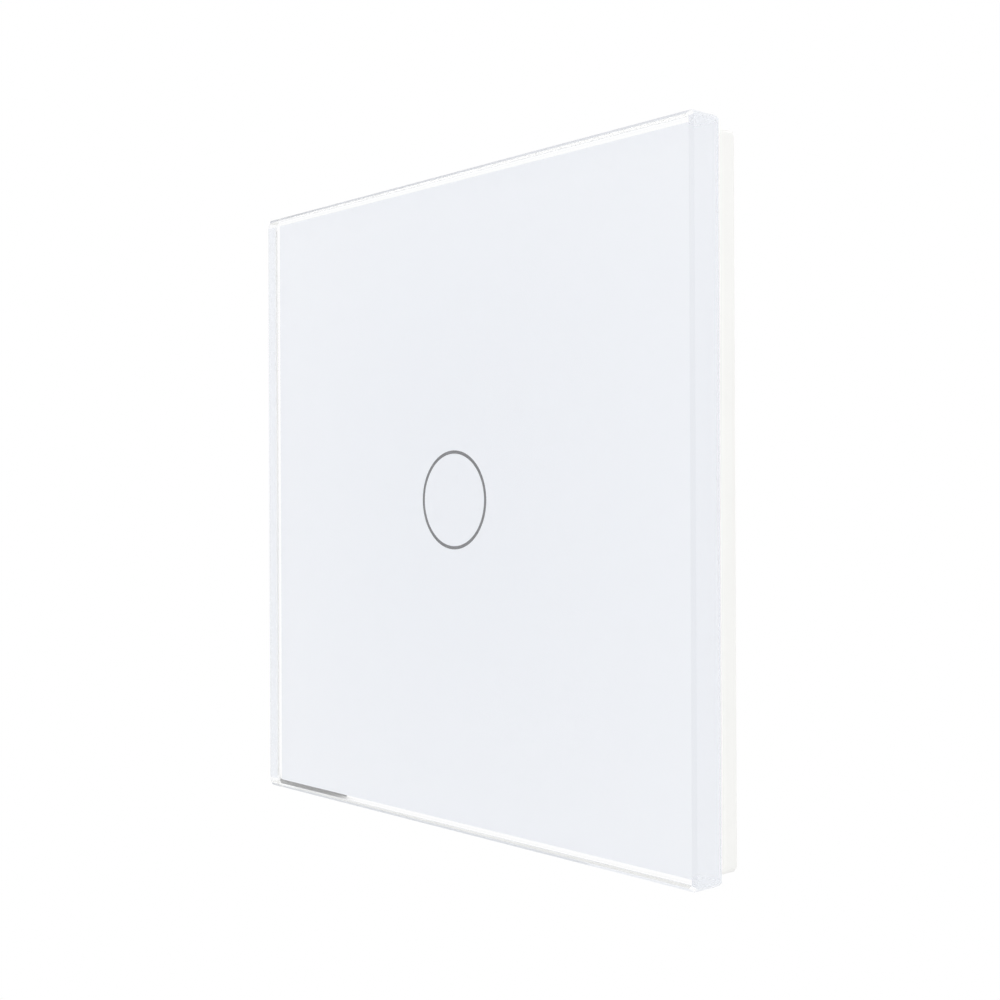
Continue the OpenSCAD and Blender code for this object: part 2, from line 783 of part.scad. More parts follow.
module relay_bobbin() {
    bore = core_d + 2 * thread_gap;
    color("ivory") difference() {
        union() {
            for (x = [coil_x, coil_x + coil_l - bobbin_flange])
                box([x, x + bobbin_flange], about(coil_y, bobbin_w), about(relay_at.y, bobbin_w));
            rod_x([coil_y, relay_at.y], bore + 2 * bobbin_wall, [coil_x, coil_x + coil_l]);
        }
        rod_x([coil_y, relay_at.y], bore, grow([coil_x, coil_x + coil_l]));
    }
}

module relay_winding() {
    bore = core_d + 2 * bobbin_wall + 4 * thread_gap;
    span = [coil_x + bobbin_flange + thread_gap, coil_x + coil_l - bobbin_flange - thread_gap];
    color("chocolate") difference() {
        rod_x([coil_y, relay_at.y], coil_d, span);
        rod_x([coil_y, relay_at.y], bore, grow(span));
    }
}

module relay_yoke() {
    width = about(relay_at.y, iron_w);
    color("silver") {
        box([yoke_x, yoke_x + iron_t], [y_relay, yoke_y + iron_t], width);
        box([yoke_x, pivot_x], [yoke_y, yoke_y + iron_t], width);
        rod_z([pivot_x, pivot_y], iron_t, width);
        rod_x([coil_y, relay_at.y], core_d, [yoke_x + iron_t / 2, pole_x]);
    }
}

module relay_armature() {
    width = about(relay_at.y, iron_w);
    color("lightgray") difference() {
        box([pivot_x, pivot_x + iron_t], [coil_y - core_d, pivot_y + iron_t], width);
        rod_z([pivot_x, pivot_y], iron_t + 2 * thread_gap, grow(width));
    }
}

module relay_contact_arm() {
    root = pivot_x + iron_t;
    width = about(relay_at.y, leaf_w);
    color("peru") {
        box([root, root + leaf_t], [coil_y, leaf_y + leaf_t], width);
        box([root, arm_end], [leaf_y, leaf_y + leaf_t], width);
        rod_y([contact_x, relay_at.y], contact_d, [leaf_y - contact_h, leaf_y + leaf_t / 2]);
    }
}

module relay_fixed_contact() {
    top = leaf_y - contact_h - contact_drop;
    color("peru") {
        box(about(contact_x, contact_d), [y_relay, top - contact_h], about(relay_at.y, leaf_w));
        rod_y([contact_x, relay_at.y], contact_d, [top - 2 * contact_h, top]);
    }
}

module relay_pins() {
    color("gainsboro") leads(relay_leads, y_relay);
}

// Leg of a contact bar, down through its block and the board
module bar_leg(x, span, gap) {
    box(about(x, bar_w + 2 * gap), span, [z_cell_top - gap, z_cell_top + term_wall / 2 + gap]);
}

// Contact bar: flat under the wire, then down through the board
module contact_bar(x, gap) {
    thickness = [y_bar - gap, y_bar + bar_t + gap];
    box(about(x, bar_w + 2 * gap), thickness, [z_cell, z_cell_top + term_wall / 2 + gap]);
    bar_leg(x, [y_leads, thickness[1]], gap);
}

module contact_bars() {
    color("darkgoldenrod") for (x = terminals) contact_bar(x, 0);
}

module terminal_block(i) {
    x = terminals[i];
    color("limegreen") difference() {
        box(about(x, block_w), [y_board, y_block], [z_entry, z_block_top]);
        box(about(x, cell_w), [y_board + term_floor, y_head - slip], [z_cell, z_cell_top]);
        rod_y([x, z_clamp], clamp_head_d + 2 * run_gap, [y_thread, y_lip]);
        rod_y([x, z_clamp], clamp_head_d - 2 * bar_gap, [y_thread, y_block + over]);
        rod_z([x, y_wire_mid], entry_d, [z_entry - over, z_cell + over]);
        contact_bar(x, slip);
    }
}

module clamp_cage(i) {
    x = terminals[i];
    length = about(z_clamp, cage_l);
    color("gainsboro") difference() {
        box(about(x, cage_w), [y_cage, y_thread + thread_t], length);
        box(about(x, cage_in_w), [y_wire, y_thread], grow(length));
        rod_y([x, z_clamp], clamp_d + 2 * thread_gap, grow([y_thread, y_thread + thread_t]));
    }
}

module clamp_screw(i) {
    at = [terminals[i], z_clamp];
    slot_w = 0.7;
    color("lightgray") difference() {
        union() {
            rod_y(at, clamp_d, [y_bar + bar_t + slip, y_head + slip]);
            rod_y(at, clamp_head_d, [y_head, y_head + clamp_head_h]);
        }
        box(about(at.x, clamp_head_d + over), [y_head + clamp_head_h / 2, y_lip], about(at.y, slot_w));
    }
}

// Outside of the rear housing, with its back edges cut off
module housing_block() {
    half = body_w / 2;
    side = [[-half, 0], [half, 0], [half, y_back - back_chamfer], [half - back_chamfer, y_back],
        [back_chamfer - half, y_back], [-half, y_back - back_chamfer]];
    intersection() {
        along_y([0, y_back]) polygon(rounded(body_w, body_w, body_r));
        linear_extrude(body_w, center = true) polygon(side);
        rotate([0, 90, 0]) linear_extrude(body_w, center = true) polygon(side);
    }
}

module rear_housing() {
    rib_w = 4;
    rib_z = body_in / 5;
    rib_out = 1.5;
    pilot = house_screw_d + 2 * thread_gap;
    vent_pitch = 2 * vent_h + over;
    wire_wall = [-body_w / 2 - over, z_entry];
    color("whitesmoke") difference() {
        union() {
            difference() {
                housing_block();
                along_y([-over, y_inside]) polygon(rounded(body_in, body_in, body_r - body_wall + board_gap));
            }
            for (c = corners) {
                rod_y(c * boss_at, boss_d, [0, y_inside + over]);
                box(about(c.x * (body_in - rib_out) / 2, rib_out + over), [y_board, y_inside + over],
                    about(c.y * rib_z, rib_w));
            }
        }
        for (c = corners) rod_y(c * boss_at, pilot, [-over, house_screw_l + over]);
        for (x = terminals) rod_y([x, z_clamp], driver_d, [y_inside - over, y_back + over]);
        box(about(0, 2 * term_pitch), about(y_wire_mid, wire_window), wire_wall);
        for (x = about(0, 2 * term_pitch)) rod_z([x, y_wire_mid], wire_window, wire_wall);
        for (i = [0:vents_n - 1])
            box(about(0, body_w + 2 * over), [y_board + rib_w, y_inside - rib_w / 2],
                about((i - (vents_n - 1) / 2) * vent_pitch, vent_h));
        box(about(0, label_w), [y_back - label_depth, y_back + over], about(row_z + label_h / 2, label_h));
    }
}

module housing_screws() {
    recess = 0.5;
    seat = y_cover + house_head_h;
    color("silver") for (c = corners) {
        at = c * boss_at;
        difference() {
            union() {
                rod_y(at, house_screw_d, [seat - slip, house_screw_l]);
                rod_y(at, house_head_d, [y_cover, seat]);
            }
            for (size = [[recess, house_head_d / 2], [house_head_d / 2, recess]])
                box(about(at.x, size.x), [y_cover - over, y_cover + house_head_h / 2], about(at.y, size.y));
        }
    }
}

glass_panel();
enamel_layer();
indicator_ring();
glass_adhesive();
panel_frame();
mounting_plate();
front_cover();
light_guide();
touch_spring();
sensor_board();
touch_chip();
indicator_leds();
board_header();
header_pins();
power_board();
rectifier();
film_capacitor();
smoothing_capacitor();
transformer_bobbin();
transformer_core();
transformer_winding();
varistor();
fuse();
relay_base();
relay_cover();
relay_bobbin();
relay_winding();
relay_yoke();
relay_armature();
relay_contact_arm();
relay_fixed_contact();
relay_pins();
contact_bars();
rear_housing();
housing_screws();
for (i = [0:2]) {
    terminal_block(i);
    clamp_cage(i);
    clamp_screw(i);
}
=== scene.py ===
import math

import bmesh
import bpy
from mathutils import Matrix, Vector


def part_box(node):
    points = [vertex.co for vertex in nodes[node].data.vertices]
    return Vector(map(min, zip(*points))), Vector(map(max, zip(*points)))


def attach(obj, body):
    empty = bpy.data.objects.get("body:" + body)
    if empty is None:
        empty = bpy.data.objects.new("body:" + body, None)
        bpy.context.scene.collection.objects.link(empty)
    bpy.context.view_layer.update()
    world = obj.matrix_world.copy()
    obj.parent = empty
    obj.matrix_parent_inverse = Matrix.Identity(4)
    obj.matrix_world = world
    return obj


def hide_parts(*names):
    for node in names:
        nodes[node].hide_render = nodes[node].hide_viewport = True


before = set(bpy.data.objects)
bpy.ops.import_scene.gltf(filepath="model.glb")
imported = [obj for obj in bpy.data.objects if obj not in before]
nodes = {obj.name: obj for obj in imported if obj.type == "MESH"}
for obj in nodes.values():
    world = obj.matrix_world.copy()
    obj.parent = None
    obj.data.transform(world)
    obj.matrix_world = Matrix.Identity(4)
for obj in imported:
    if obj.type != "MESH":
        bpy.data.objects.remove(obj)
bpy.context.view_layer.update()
scene = bpy.context.scene
scene.view_settings.view_transform = "Standard"
mm = 0.001
cornerSigns = ((1, 1), (-1, 1), (-1, -1), (1, -1))
print("frame loaded,", len(nodes), "nodes")


class Wire:  # one socket of a finish, so that shader maths reads as plain sums
    def __init__(self, tree, socket=None):
        self.tree, self.socket = tree, socket

    def node(self, kind, settings=None, inputs=None, out=0):  # any node but the sums below
        made = self.tree.nodes.new("ShaderNode" + kind)
        for name, value in (settings or {}).items():
            setattr(made, name, value)
        for name, value in (inputs or {}).items():
            socket = made.inputs[name]
            if isinstance(value, Wire):
                self.tree.links.new(value.socket, socket)
            elif socket.type == "RGBA":
                socket.default_value = (*value[:3], 1.0)
            else:
                socket.default_value = value
        return Wire(self.tree, made.outputs[out] if made.outputs else None)

    def other(self, out):  # another output of the same node
        return Wire(self.tree, self.socket.node.outputs[out])

    def sums(self, operation, first, second=0.0):
        return self.node("Math", {"operation": operation}, {0: first, 1: second})

    def __add__(self, other):
        return self.sums("ADD", self, other)

    def __radd__(self, other):
        return self.sums("ADD", other, self)

    def __sub__(self, other):
        return self.sums("SUBTRACT", self, other)

    def __rsub__(self, other):
        return self.sums("SUBTRACT", other, self)

    def __mul__(self, other):
        return self.sums("MULTIPLY", self, other)

    def __rmul__(self, other):
        return self.sums("MULTIPLY", other, self)

    def __gt__(self, other):
        return self.sums("GREATER_THAN", self, other)

    def __lt__(self, other):
        return self.sums("LESS_THAN", self, other)

    def __abs__(self):
        return self.sums("ABSOLUTE", self)


def startFinish(name):  # a new material and its place on the part, in millimetres
    material = bpy.data.materials.new(name)
    material.use_nodes = True
    material.node_tree.nodes.clear()
    place = Wire(material.node_tree).node("TexCoord", out="Object")
    spot = place.node("VectorMath", {"operation": "SCALE"}, {"Vector": place, "Scale": 1 / mm})
    return material, spot


def endFinish(spot, values, height=None, depth=0.0):  # depth of the relief in millimetres
    if height is not None:
        relief = {"Strength": 1.0, "Distance": depth * mm, "Height": height}
        values["Normal"] = spot.node("Bump", None, relief)
    shader = spot.node("BsdfPrincipled", None, values)
    spot.node("OutputMaterial", None, {"Surface": shader})


def axesOf(spot):
    x = spot.node("SeparateXYZ", None, {0: spot}, "X")
    return x, x.other("Y"), x.other("Z")


def grainOf(spot, size):  # noise whose lumps are about this many millimetres
    return spot.node("TexNoise", None, {"Vector": spot, "Scale": 1 / size}, "Fac")


def cellsOf(spot, size, out):  # close-packed cells about this many millimetres wide
    return spot.node("TexVoronoi", None, {"Vector": spot, "Scale": 1 / size}, out)


def stretched(spot, shares):
    return spot.node("VectorMath", {"operation": "MULTIPLY"}, {0: spot, 1: shares})


def tinted(spot, mask, low, high):  # one colour where the mask is 0, the other where it is 1
    return spot.node("Mix", {"data_type": "RGBA"}, {0: mask, 6: low, 7: high}, 2)


def between(mask, low, high):  # the same for plain values
    return low + (high - low) * mask


def mottled(spot, mask, colour, share):  # a colour, and this share of it where the mask is 0
    return tinted(spot, mask, tuple(c * share for c in colour), colour)


def wear(obj, material):
    obj.data.materials.clear()
    obj.data.materials.append(material)


def nodesOf(stem):  # the nodes of that name, or its numbered copies
    return [n for n in nodes if n == stem or n.rstrip("0123456789") == stem + "_"]


def plainName(stem, ending):  # rear_housing becomes rearHousingMoulding
    first, *rest = stem.split("_")
    return first + "".join(word.title() for word in rest) + ending


# Camera, at the photograph's place

cameraSet = {
    "place": (141.53, -122.62, -0.11),  # millimetres
    "turn": 48.84,  # degrees to the right of straight on
    "tilt": 0.098,
    "roll": -0.233,
    "lens": 53.8,  # millimetres
    "sensor": 36.0,
    "clip": (0.001, 100.0),  # metres
}


def makeCamera(s):
    turn, tilt, roll = (math.radians(s[k]) for k in ("turn", "tilt", "roll"))
    ahead = Vector((-math.sin(turn) * math.cos(tilt), math.cos(turn) * math.cos(tilt), math.sin(tilt)))
    level = Vector((math.cos(turn), math.sin(turn), 0))
    up = level.cross(ahead)
    right = level * math.cos(roll) + up * math.sin(roll)
    axes = Matrix((right, right.cross(ahead), -ahead)).transposed()
    data = bpy.data.cameras.new("camera")
    data.sensor_width = s["sensor"]
    data.lens = s["lens"]
    data.clip_start, data.clip_end = s["clip"]
    camera = bpy.data.objects.new("camera", data)
    camera.matrix_world = Matrix.Translation(Vector(s["place"]) * mm) @ axes.to_4x4()
    scene.collection.objects.link(camera)
    scene.camera = camera


makeCamera(cameraSet)
print("camera placed")


# Studio: white surroundings, soft lamps, dark cards and a pale floor well below the panel

studioSet = {
    "seen": 1.0,  # brightness of the background, also in glass and metal
    "soft": 0.45,  # light from all round
    "floor": -0.28,  # height of the floor in metres
    "floorSize": 6.0,
    "floorColour": (0.93, 0.93, 0.92),
    "mottle": 60.0,  # width of the floor's mottling in millimetres
    "mottleShade": 0.98,
    "floorGlow": 0.4,  # share of the background's white in the floor under the part
    "floorFade": (250.0, 500.0),  # millimetres out, over which the floor turns into the background
    "bounces": 48,  # light goes round many times inside the glass
}
lampSet = {  # place in metres, width in metres, watts
    "key": ((-0.95, -0.65, 0.9), 0.9, 6.0),
    "right": ((0.95, -0.55, 0.45), 0.8, 7.4),
    "back": ((0.2, 0.9, 0.7), 0.8, 2.5),
    "side": ((-0.8, 0.7, 0.3), 0.8, 3.0),
}
cardPaper = {"rough": 0.8, "roughMore": 0.1, "grain": 20.0}
cardSet = {  # dark cards that show in the glass edges: direction, metres away, width and height, grey, rays
    "cameraCard": ((0.76, -0.65, 0.0), 0.62, (0.3, 0.6), 0.02, "glossy"),
    "topCard": ((-0.735, 0.22, 0.626), 1.0, (0.32, 0.44), 0.3, "glossy"),
    "topLeftCard": ((-0.814, 0.193, 0.547), 0.97, (0.05, 0.05), 0.02, "glossy"),
    "bottomCard": ((-0.735, 0.22, -0.626), 0.36, (0.12, 0.14), 0.3, "glossy"),
    "bottomLeftCard": ((-0.814, 0.193, -0.547), 0.32, (0.02, 0.02), 0.02, "glossy"),
    "behindCard": ((-0.8211, 0.528, -0.2171), 1.1006, (0.0614, 0.0192), 0.26, "transmission"),
}


def raysSeen(root):  # 1 on rays that show the background, 0 on those that only light things
    camera = root.node("LightPath", out="Is Camera Ray")
    return 1 - (1 - camera) * (1 - camera.other("Is Glossy Ray")) * (1 - camera.other("Is Transmission Ray"))


def makeWorld(s):
    world = bpy.data.worlds.new("studio")
    world.use_nodes = True
    world.node_tree.nodes.clear()
    root = Wire(world.node_tree)
    lit = root.node("Background", None, {"Color": (1, 1, 1), "Strength": s["soft"]})
    seen = root.node("Background", None, {"Color": (1, 1, 1), "Strength": s["seen"]})
    both = root.node("MixShader", None, {0: raysSeen(root), 1: lit, 2: seen})
    root.node("OutputWorld", None, {"Surface": both})
    scene.world = world
    for kind in ("max", "diffuse", "glossy", "transmission", "transparent_max"):
        setattr(scene.cycles, kind + "_bounces", s["bounces"])
    scene.cycles.blur_glossy = 0.0  # light passes through the glass unblurred


def flatSheet(name, corners, material):
    mesh = bpy.data.meshes.new(name)
    mesh.from_pydata(corners, [], [(0, 1, 2, 3)])
    sheet = bpy.data.objects.new(name, mesh)
    scene.collection.objects.link(sheet)
    wear(sheet, material)
    return sheet


def makeFloor(s):
    half = s["floorSize"] / 2
    material, spot = startFinish("paleFloor")
    colour = mottled(spot, grainOf(spot, s["mottle"]), s["floorColour"], s["mottleShade"])
    x, y = axesOf(spot)[:2]
    out = spot.sums("SQRT", x * x + y * y)
    near, far = s["floorFade"]
    fade = spot.node("MapRange", None, {0: out, 1: near, 2: far, 3: s["floorGlow"]})
    matt = spot.node("BsdfPrincipled", None, {"Base Color": colour, "Specular IOR Level": 0.0})
    glow = spot.node("Emission", None, {"Color": (1, 1, 1), "Strength": s["seen"]})
    both = spot.node("MixShader", None, {0: raysSeen(spot) * fade, 1: matt, 2: glow})
    spot.node("OutputMaterial", None, {"Surface": both})
    corners = [(a * half, b * half, s["floor"]) for a, b in cornerSigns]
    flatSheet("floor", corners, material)


def aimed(place):  # the turn of a lamp or card that faces the part
    return (-Vector(place)).to_track_quat("-Z", "Y")


def makeLamps(rows):
    for name, (place, size, watts) in rows.items():
        data = bpy.data.lights.new(name, "AREA")
        data.size = size
        data.energy = watts
        lamp = bpy.data.objects.new(name, data)
        lamp.location = place
        lamp.rotation_euler = aimed(place).to_euler()
        lamp.visible_transmission = False  # the print behind the glass takes its light from all round
        scene.collection.objects.link(lamp)


def makeCards(rows):
    for name, (toward, away, (width, height), grey, rays) in rows.items():
        place = Vector(toward) * away
        turn = aimed(place).to_matrix()
        corners = [(a * width / 2, b * height / 2, 0) for a, b in cornerSigns]
        outline = [turn @ Vector(c) + place for c in corners]
        material, spot = startFinish(name)
        rough = cardPaper["rough"] + cardPaper["roughMore"] * grainOf(spot, cardPaper["grain"])
        endFinish(spot, {"Base Color": (grey, grey, grey), "Roughness": rough})
        card = flatSheet(name, outline, material)
        for ray in ("camera", "diffuse", "glossy", "transmission", "shadow"):
            setattr(card, "visible_" + ray, ray == rays)


makeWorld(studioSet)
makeFloor(studioSet)
makeLamps(lampSet)
makeCards(cardSet)
print("studio lit")


# Shapes that several pieces share

def joinRows(mesh, first, second):
    count = len(first)
    for i in range(count):
        k = (i + 1) % count
        mesh.faces.new((first[i], first[k], second[k], second[i]))


def closeRows(mesh, rows):  # a solid through rows of points
    for first, second in zip(rows, rows[1:]):
        joinRows(mesh, first, second)
    mesh.faces.new(rows[0])
    mesh.faces.new(rows[-1])


def rowAt(mesh, outline, y):  # an outline in X and Z, set at a depth
    return [mesh.verts.new((x, y, z)) for x, z in outline]


def cutSquare(half, cut):  # a square with its corners cut off
    near = half - cut
    upper = [(half, near), (near, half), (-near, half), (-half, near)]
    return upper + [(-x, -z) for x, z in upper]


def roundRing(radius, steps, middle=(0.0, 0.0)):
    turns = [2 * math.pi * i / steps for i in range(steps)]
    return [(middle[0] + radius * math.cos(a), middle[1] + radius * math.sin(a)) for a in turns]


def squareRing(half, steps):  # a square with as many points as a ring, to join the two
    points = []
    for x, z in roundRing(1.0, steps):
        out = max(abs(x), abs(z))
        points.append((x / out * half, z / out * half))
    return points


def roundedPlate(width, height, corner, steps, middle):
    points = []
    for a, b in cornerSigns:
        start = math.atan2(b, a) - math.pi / 4
        for i in range(steps + 1):
            turn = start + math.pi / 2 * i / steps
            points.append((a * (width / 2 - corner) + corner * math.cos(turn),
                           b * (height / 2 - corner) + corner * math.sin(turn) + middle))
    return points


def newPiece(name, mesh, material, body, stoodFor=(), smooth=False):
    bmesh.ops.recalc_face_normals(mesh, faces=mesh.faces)
    for face in mesh.faces:
        face.smooth = smooth
    data = bpy.data.meshes.new(name)
    mesh.to_mesh(data)
    mesh.free()
    obj = bpy.data.objects.new(name, data)
    scene.collection.objects.link(obj)
    wear(obj, material)
    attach(obj, body)
    if stoodFor:
        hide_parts(*stoodFor)


edgeSet = {
    "weld": 1e-6,  # metres
    "flat": 0.5,  # degrees between faces that are one face
    "sharp": 40.0,  # degrees from which an edge is broken
    "segments": 2,
}


def softenEdges(obj, width):  # breaks the sharp edges of a solid
    obj.modifiers.new("joined", "WELD").merge_threshold = edgeSet["weld"]
    flat = obj.modifiers.new("flat", "DECIMATE")
    flat.decimate_type = "DISSOLVE"
    flat.angle_limit = math.radians(edgeSet["flat"])
    edge = obj.modifiers.new("edge", "BEVEL")
    edge.width = width * mm
    edge.segments = edgeSet["segments"]
    edge.limit_method = "ANGLE"
    edge.angle_limit = math.radians(edgeSet["sharp"])
    edge.harden_normals = True


def finishNodes(sets, makeFinish, ending):  # breaks the edges too, where the set says how far
    for stem, s in sets.items():
        finish = makeFinish(plainName(stem, ending), s)
        for node in nodesOf(stem):
            wear(nodes[node], finish)
            if "edge" in s:
                softenEdges(nodes[node], s["edge"])


# Glass panel

glassSet = {
    "ior": 1.5,
    "chamfer": 0.4,  # leg of the ground edge in front, in millimetres
    "seam": 0.03,  # and behind
    "smear": (0.0, 0.012),  # roughness where it is cleanest and where it is handled
    "smearSize": 14.0,
    "bevelRough": 0.05,  # roughness of the ground edges
    "sideRough": 0.18,
    "dusty": (0.97, 0.973, 0.978),  # and a faint grey tint on them, painted shade that darkens the ground edges
    "rimShare": 0.97,  # of the chamfer that counts as ground
    "sideSkin": 0.01,  # millimetres that count as the side
}


def glassFinish(s, half):
    material, spot = startFinish("temperedGlass")
    x, z = axesOf(spot)[::2]
    out = spot.sums("MAXIMUM", abs(x), abs(z))
    rim = out > half - s["chamfer"] * s["rimShare"]
    side = out > half - s["sideSkin"]
    handled = between(grainOf(spot, s["smearSize"]), *s["smear"])
    # painted shade: the ground edges take a faint grey tint, darker than the clear glass
    endFinish(spot, {
        "Base Color": tinted(spot, rim, (1, 1, 1), s["dusty"]),
        "Roughness": handled + s["bevelRough"] * rim + (s["sideRough"] - s["bevelRough"]) * side,
        "IOR": s["ior"],
        "Transmission Weight": 1.0,
    })
    return material


def makeGlass(s):
    low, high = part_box("glass_panel")
    chamfer, seam = s["chamfer"] * mm, s["seam"] * mm
    levels = (  # depth, then half width
        (low.y, high.x - chamfer),
        (low.y + chamfer, high.x),
        (high.y - seam, high.x),
        (high.y, high.x - seam),
    )
    mesh = bmesh.new()
    rows = [rowAt(mesh, cutSquare(half, chamfer), y) for y, half in levels]
    closeRows(mesh, rows)
    newPiece("clearGlass", mesh, glassFinish(s, high.x / mm), "panel", ["glass_panel"])


makeGlass(glassSet)
print("glass ground and polished")


# Enamel and ring mark, printed on the back of the glass

printSet = {
    "sink": 0.02,  # millimetres into the glass, so that print and glass touch
    "ringSink": 0.03,
    "overlap": 0.03,  # of the ring mark over the edge of its window
    "shift": (-0.89, 0.24),  # of the ring along X and Z, as the photograph shows it
    "steps": 128,
    "enamel": (0.926, 0.938, 0.962),
    "enamelCloud": 9.0,  # millimetres across its faint clouds
    "enamelShade": 0.997,
    "enamelRough": 0.5,
    "ink": (0.2, 0.2, 0.205),
    "inkCloud": 0.6,
    "inkShade": 0.94,
    "inkRough": 0.45,
    "roughMore": 0.1,
    "meshPitch": 0.12,  # of the printing screen, in millimetres
    "relief": 0.001,
}


def printedBand(mesh, outer, inner, front, back):  # inner None leaves no hole
    outerRows = [rowAt(mesh, outer, y) for y in (front, back)]
    if inner is None:
        closeRows(mesh, outerRows)
        return
    innerRows = [rowAt(mesh, inner, y) for y in (front, back)]
    for first, second in (outerRows, innerRows, *zip(outerRows, innerRows)):
        joinRows(mesh, first, second)


def enamelFinish(s):
    material, spot = startFinish("whiteEnamel")
    weave = cellsOf(spot, s["meshPitch"], "Distance")
    cloud = grainOf(spot, s["enamelCloud"])
    colour = mottled(spot, cloud, s["enamel"], s["enamelShade"])
    rough = s["enamelRough"] + s["roughMore"] * cloud
    endFinish(spot, {"Base Color": colour, "Roughness": rough}, weave, s["relief"])
    return material


def inkFinish(s):
    material, spot = startFinish("ringInk")
    cloud = grainOf(spot, s["inkCloud"])
    colour = mottled(spot, cloud, s["ink"], s["inkShade"])
    rough = s["inkRough"] + s["roughMore"] * cloud
    endFinish(spot, {"Base Color": colour, "Roughness": rough}, cloud, s["relief"])
    return material


def makePrint(s):
    low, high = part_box("enamel_layer")
    radii = [math.hypot(v.co.x, v.co.z) for v in nodes["indicator_ring"].data.vertices]
    inner, outer = min(radii), max(radii)
    middle = [shift * mm for shift in s["shift"]]
    lap = s["overlap"] * mm
    front = low.y - s["sink"] * mm
    steps = s["steps"]
    sheet = bmesh.new()
    printedBand(sheet, squareRing(high.x, steps), roundRing(outer - lap, steps, middle), front, high.y)
    printedBand(sheet, roundRing(inner + lap, steps, middle), None, front, high.y)
    newPiece("enamelPrint", sheet, enamelFinish(s), "panel", ["enamel_layer"])
    mark = bmesh.new()
    ringFront = low.y - s["ringSink"] * mm
    printedBand(mark, roundRing(outer, steps, middle), roundRing(inner, steps, middle), ringFront, high.y)
    newPiece("ringMark", mark, inkFinish(s), "panel", ["indicator_ring"])


makePrint(printSet)
print("enamel and ring printed")


# Mouldings and resin bodies

def belowBoard(spot):  # legs that go through the power board
    return axesOf(spot)[1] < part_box("power_board")[1].y / mm


def pastBody(node, foot):  # bent legs on both sides of a flat body
    low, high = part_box(node)
    middle = (low.z + high.z) / 2 / mm
    reach = (high.z - low.z) / 2 / mm - foot
    return lambda spot: abs(axesOf(spot)[2] - middle) > reach


markSet = {  # one, two and three dots in grey ink beside the clamps' driver holes
    "radius": 0.45, "pitch": 1.5, "above": 4.0, "ink": (0.2, 0.2, 0.21),
}


def clampMarks(spot, colour):
    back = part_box("rear_housing")[1].y / mm
    mask = 0.0
    for k, node in enumerate(nodesOf("clamp_screw")):
        low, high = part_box(node)
        mid = (low + high) / 2 / mm
        for i in range(k + 1):
            dot = (mid.x + (i - k / 2) * markSet["pitch"], back, mid.z + markSet["above"])
            away = spot.node("VectorMath", {"operation": "DISTANCE"}, {0: spot, 1: dot}, "Value")
            mask = (away < markSet["radius"]) + mask
    return tinted(spot, mask, colour, markSet["ink"])


legSet = {"colour": (0.72, 0.71, 0.68), "rough": 0.28}
flowSet = {"size": 12.0, "shade": 0.95, "sparkle": 0.14}  # sparkle is the grain's part in the roughness
mouldSets = {  # grain, its depth and the broken edge in millimetres
    "panel_frame": {"colour": (0.9, 0.9, 0.885), "rough": 0.42, "grain": 0.2, "depth": 0.002, "edge": 0.12},
    "front_cover": {"colour": (0.88, 0.88, 0.87), "rough": 0.45, "grain": 0.25, "depth": 0.003,
                    "edge": 0.15},
    "rear_housing": {"colour": (0.86, 0.86, 0.85), "rough": 0.5, "grain": 0.3, "depth": 0.006, "edge": 0.18,
                     "marks": clampMarks},
    "terminal_block": {"colour": (0.05, 0.2, 0.075), "rough": 0.42, "grain": 0.2, "depth": 0.003,
                       "edge": 0.12},
    "board_header": {"colour": (0.022, 0.022, 0.024), "rough": 0.45, "grain": 0.15, "depth": 0.003},
    "relay_base": {"colour": (0.025, 0.025, 0.027), "rough": 0.4, "grain": 0.15, "depth": 0.002},
    "relay_cover": {"colour": (0.03, 0.1, 0.36), "rough": 0.3, "grain": 0.2, "depth": 0.002, "edge": 0.08},
    "relay_bobbin": {"colour": (0.78, 0.74, 0.62), "rough": 0.4, "grain": 0.15, "depth": 0.002},
    "transformer_bobbin": {"colour": (0.03, 0.03, 0.032), "rough": 0.4, "grain": 0.15, "depth": 0.002,
                           "legs": belowBoard},
    "film_capacitor": {"colour": (0.62, 0.4, 0.035), "rough": 0.25, "grain": 0.4, "depth": 0.003,
                       "legs": belowBoard},
    "fuse": {"colour": (0.1, 0.045, 0.022), "rough": 0.3, "grain": 0.2, "depth": 0.002, "legs": belowBoard},
    "varistor": {"colour": (0.035, 0.11, 0.3), "rough": 0.28, "grain": 0.9, "depth": 0.03,
                 "legs": belowBoard},
    "touch_chip": {"colour": (0.02, 0.02, 0.022), "rough": 0.5, "grain": 0.08, "depth": 0.002,
                   "legs": pastBody("touch_chip", 0.5)},
    "rectifier": {"colour": (0.02, 0.02, 0.022), "rough": 0.5, "grain": 0.08, "depth": 0.002,
                  "legs": pastBody("rectifier", 0.4)},
    "transformer_core": {"colour": (0.045, 0.045, 0.05), "rough": 0.6, "grain": 0.12, "depth": 0.004},
}


def mouldFinish(name, s):
    material, spot = startFinish(name)
    spark = grainOf(spot, s["grain"])
    colour = mottled(spot, grainOf(spot, flowSet["size"]), s["colour"], flowSet["shade"])
    rough = s["rough"] + flowSet["sparkle"] * (spark - 0.5)
    values = {"Base Color": colour, "Roughness": rough}
    if "legs" in s:
        bare = s["legs"](spot)
        values["Base Color"] = tinted(spot, bare, colour, legSet["colour"])
        values["Roughness"] = between(bare, rough, legSet["rough"])
        values["Metallic"] = bare
    if "marks" in s:
        values["Base Color"] = s["marks"](spot, colour)
    endFinish(spot, values, spark, s["depth"])
    return material


finishNodes(mouldSets, mouldFinish, "Moulding")
print("mouldings finished")


# Metals

